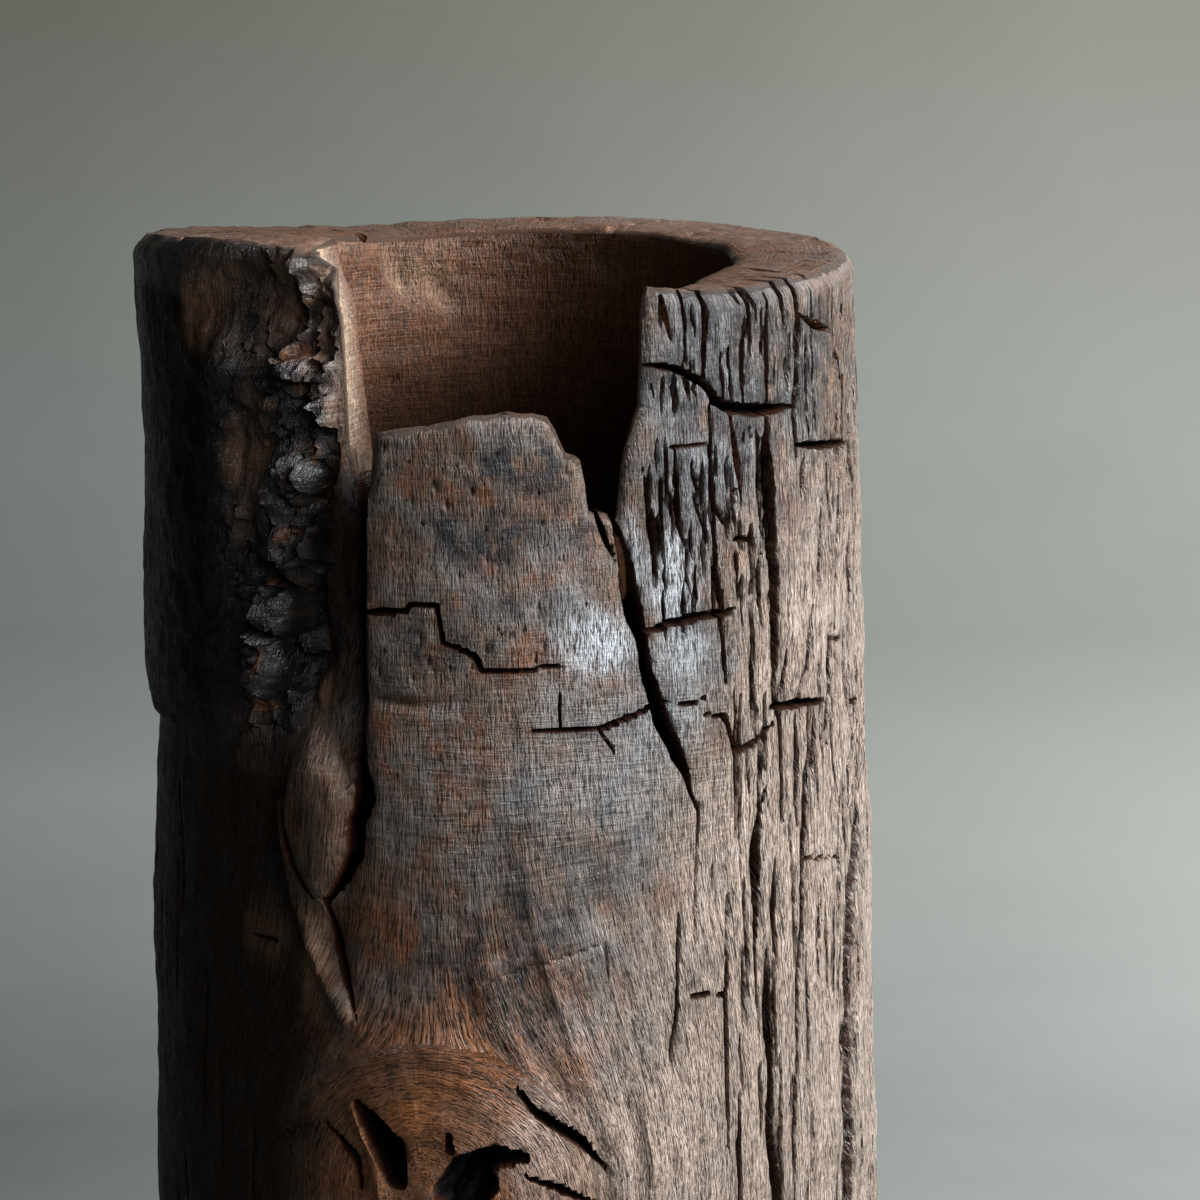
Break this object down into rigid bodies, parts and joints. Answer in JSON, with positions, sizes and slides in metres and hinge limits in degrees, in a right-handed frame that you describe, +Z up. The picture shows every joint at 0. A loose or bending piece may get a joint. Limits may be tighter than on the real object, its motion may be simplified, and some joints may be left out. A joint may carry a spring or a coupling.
{
  "type": "wooden log vase",
  "caption": "Weathered hollow-log flower vase with a broken front rim, deep drying checks, a pegged base board and a lift-out sheet-metal water liner.",
  "frame": {"origin": "on the ground, in the middle of the foot's outline", "axes": "+Z up along the log, -Y towards the broken front, +X to the right as seen from the front"},
  "size_m": [0.1935, 0.1936, 0.3698],
  "materials": {
    "weathered_log_wood": "raw, weathered grey-brown, charred black on the left",
    "base_board_wood": "planed, unfinished",
    "peg_wood": "sawn flush, end grain showing",
    "sheet_copper": "dull brown tarnish"
  },
  "bodies": {
    "vase": {"log_wall": "weathered_log_wood", "crack_splinter": "weathered_log_wood", "base_board": "base_board_wood", "base_peg_1": "peg_wood", "base_peg_2": "peg_wood", "base_peg_3": "peg_wood", "base_peg_4": "peg_wood", "base_peg_5": "peg_wood", "base_peg_6": "peg_wood"},
    "liner": {"liner_wall": "sheet_copper", "liner_floor": "sheet_copper", "liner_rim_bead": "sheet_copper"}
  },
  "joints": [
    {"name": "liner_lift", "type": "slide", "parent": "vase", "child": "liner", "axis": [0, 0, 1], "range_m": [0, 0.36]}
  ]
}
